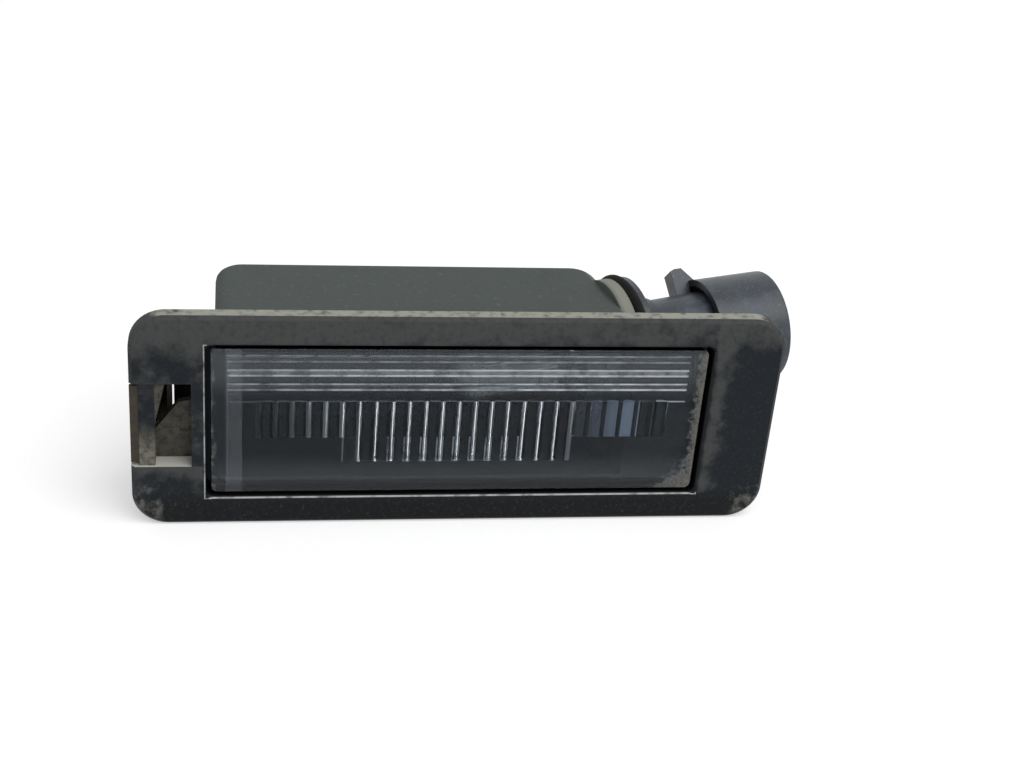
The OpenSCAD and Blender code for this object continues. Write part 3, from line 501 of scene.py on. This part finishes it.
# Bulb: a wedge-base bulb pushed into the holder. It is a blown glass envelope pressed flat at
# its base, with two nickel lead wires and a coiled tungsten filament between them.

# Blown glass is clear and glossy, with a faint haze in patches.
blown_glass = Finish("blown_soda_glass", IOR=1.52, Transmission_Weight=1.0)
glass = blown_glass.coat("#f2f5f5", "#d5dadb", blown_glass.patches(0.2, 3.0))
rough = add(blown_glass.tree, "ShaderNodeMapRange",
            {"Value": blown_glass.up, "From Min": -1.0, "To Min": 0.01, "To Max": 0.03})
blown_glass.skin(glass, rough, 3.0, 0.002, 0)
blown_glass.give("bulb_glass")

# Drawn nickel has a soft warm grey shine, dulled in small spots.
nickel = Finish("drawn_nickel_wire", Metallic=1.0)
wire = nickel.coat("#a9a49a", "#76726a", nickel.patches(0.3, 0.6))
rough = add(nickel.tree, "ShaderNodeMapRange",
            {"Value": nickel.up, "From Min": -1.0, "To Min": 0.3, "To Max": 0.4})
nickel.skin(wire, rough, 0.2, 0.004, 0.04)
nickel.give("bulb_lead_upper", "bulb_lead_lower")

COIL_TURNS = 16
COIL_STEPS = 14
COIL_RADIUS = 0.25
WIRE_RADIUS = 0.04
ARC_RADIUS = 2.4
LEAD_SPREAD = 1.8
FILAMENT_BACK = 15.0

bulb_up = (Vector((0, 0, 1)) - holder_axis * holder_axis.z).normalized()
bulb_side = holder_axis.cross(bulb_up)


def in_bulb(up, across, out):
    """Point at a place on the bulb's axis, given in millimetres."""
    place = bulb_up * up + bulb_side * across + holder_axis * out
    return holder_place + place / MM_PER_M


swing = math.asin(LEAD_SPREAD / ARC_RADIUS)
centre_out = -FILAMENT_BACK + math.sqrt(ARC_RADIUS ** 2 - LEAD_SPREAD ** 2)
coil_curve = bpy.data.curves.new("filament_coil", "CURVE")
coil_curve.dimensions = "3D"
coil_curve.bevel_depth = WIRE_RADIUS / MM_PER_M
coil_curve.bevel_resolution = 2
coil = coil_curve.splines.new("POLY")
coil_steps = COIL_TURNS * COIL_STEPS
coil.points.add(coil_steps)
for i in range(coil_steps + 1):
    t = swing * (2 * i / coil_steps - 1)
    turn = 2 * math.pi * i / COIL_STEPS
    out = ARC_RADIUS + COIL_RADIUS * math.cos(turn)
    point = in_bulb(COIL_RADIUS * math.sin(turn), out * math.sin(t), centre_out - out * math.cos(t))
    coil.points[i].co = (*point, 1)
filament_coil = bpy.data.objects.new("filament_coil", coil_curve)
bpy.context.scene.collection.objects.link(filament_coil)
# Coiled tungsten is a dark grey metal with a weak shine.
tungsten = Finish("coiled_tungsten_wire", Metallic=1.0)
drawn = tungsten.coat("#7c7a78", "#56544f", tungsten.patches(0.3, 0.3))
rough = add(tungsten.tree, "ShaderNodeMapRange",
            {"Value": tungsten.up, "From Min": -1.0, "To Min": 0.35, "To Max": 0.5})
tungsten.skin(drawn, rough, 0.1, 0.002, 0.02)
coil_curve.materials.append(tungsten.material)
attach(filament_coil, "bulb_holder")
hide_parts("bulb_filament")


# Terminals: two strips stamped from brass and pressed into the holder, each with a spring finger
# on the bulb's lead at one end and the connector pin at the other. Slightly tarnished.

brass = Finish("stamped_brass", Metallic=1.0)
tarnish = brass.patches(0.35, 1.2)
strip = brass.coat("#b59a5e", "#6e5b38", tarnish)
rough = add(brass.tree, "ShaderNodeMapRange", {"Value": tarnish, "To Min": 0.25, "To Max": 0.5})
brass.skin(strip, rough, 0.3, 0.004, 0.05)
brass.give("terminal_upper", "terminal_lower")


# Floor, light and camera: a pale studio table in soft light from above and the front right. The
# table is lifted to the white that the photograph shows, and it keeps the lamp's shadow.

FLOOR_SIZE = 4.0
FLOOR_LIFT = 0.42
WORLD_LIGHT = 0.4
LAMP_SIZE = 1.0
LAMP_PLACE = (0.4, -0.45, 0.95)
LAMP_POWER = 8.0


def seen_itself(tree):
    """1 where a surface is looked at, straight, in a reflection or through glass."""
    path = add(tree, "ShaderNodeLightPath").outputs
    seen = 0.0
    for ray in ("Is Camera Ray", "Is Glossy Ray", "Is Transmission Ray"):
        seen = add(tree, "ShaderNodeMath", {0: path[ray], 1: seen}, operation="MAXIMUM")
    return seen


half = FLOOR_SIZE / 2
floor_mesh = bpy.data.meshes.new("studio_table")
floor_mesh.from_pydata([(x, y, cad_low.z) for x, y in
                        ((-half, -half), (half, -half), (half, half), (-half, half))],
                       [], [(0, 1, 2, 3)])
floor = bpy.data.objects.new("studio_table", floor_mesh)
bpy.context.scene.collection.objects.link(floor)
table_white = bpy.data.materials.new("white_table_laminate")
table_white.use_nodes = True
tree = table_white.node_tree
surface = tree.nodes["Principled BSDF"]
surface.inputs["Base Color"].default_value = linear("#e8e8e8")
surface.inputs["Roughness"].default_value = 0.9
surface.inputs["Specular IOR Level"].default_value = 0.1
surface.inputs["Emission Color"].default_value = linear("#ffffff")
lift = add(tree, "ShaderNodeMath", {0: seen_itself(tree), 1: FLOOR_LIFT}, operation="MULTIPLY")
tree.links.new(lift.outputs[0], surface.inputs["Emission Strength"])
floor_mesh.materials.append(table_white)
floor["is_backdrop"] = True

world = bpy.data.worlds.new("studio")
bpy.context.scene.world = world
world.use_nodes = True
tree = world.node_tree
strength = add(tree, "ShaderNodeMapRange",
               {"Value": seen_itself(tree), "To Min": WORLD_LIGHT, "To Max": 1.0})
tree.links.new(strength.outputs[0], tree.nodes["Background"].inputs["Strength"])
tree.nodes["Background"].inputs["Color"].default_value = linear("#ffffff")

lamp_data = bpy.data.lights.new("softbox", "AREA")
lamp_data.size = LAMP_SIZE
lamp_data.energy = LAMP_POWER
softbox = bpy.data.objects.new("softbox", lamp_data)
bpy.context.scene.collection.objects.link(softbox)
softbox.location = LAMP_PLACE
softbox.rotation_euler = (-softbox.location).to_track_quat("-Z", "Y").to_euler()

# The camera was solved from the frame's straight edges in the photograph.
CAMERA_PLACE = (-0.02777, -0.18111, 0.10603)
CAMERA_YAW, CAMERA_PITCH, CAMERA_ROLL = (math.radians(a) for a in (10.648, 28.870, 5.228))
CAMERA_LENS = 59.77
SENSOR_WIDTH = 36
NEAREST_SEEN = 0.01
forward = Vector((math.sin(CAMERA_YAW) * math.cos(CAMERA_PITCH),
                  math.cos(CAMERA_YAW) * math.cos(CAMERA_PITCH), -math.sin(CAMERA_PITCH)))
right = Vector((math.cos(CAMERA_YAW), -math.sin(CAMERA_YAW), 0))
down = forward.cross(right)
rolled_right = right * math.cos(CAMERA_ROLL) - down * math.sin(CAMERA_ROLL)
rolled_down = right * math.sin(CAMERA_ROLL) + down * math.cos(CAMERA_ROLL)
camera_data = bpy.data.cameras.new("camera")
camera_data.sensor_width = SENSOR_WIDTH
camera_data.lens = CAMERA_LENS
camera_data.clip_start = NEAREST_SEEN
camera = bpy.data.objects.new("camera", camera_data)
bpy.context.scene.collection.objects.link(camera)
turn = Matrix((rolled_right, -rolled_down, -forward)).transposed().to_4x4()
camera.matrix_world = Matrix.Translation(CAMERA_PLACE) @ turn
bpy.context.scene.camera = camera
bpy.context.scene.view_settings.view_transform = "Standard"

low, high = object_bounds()
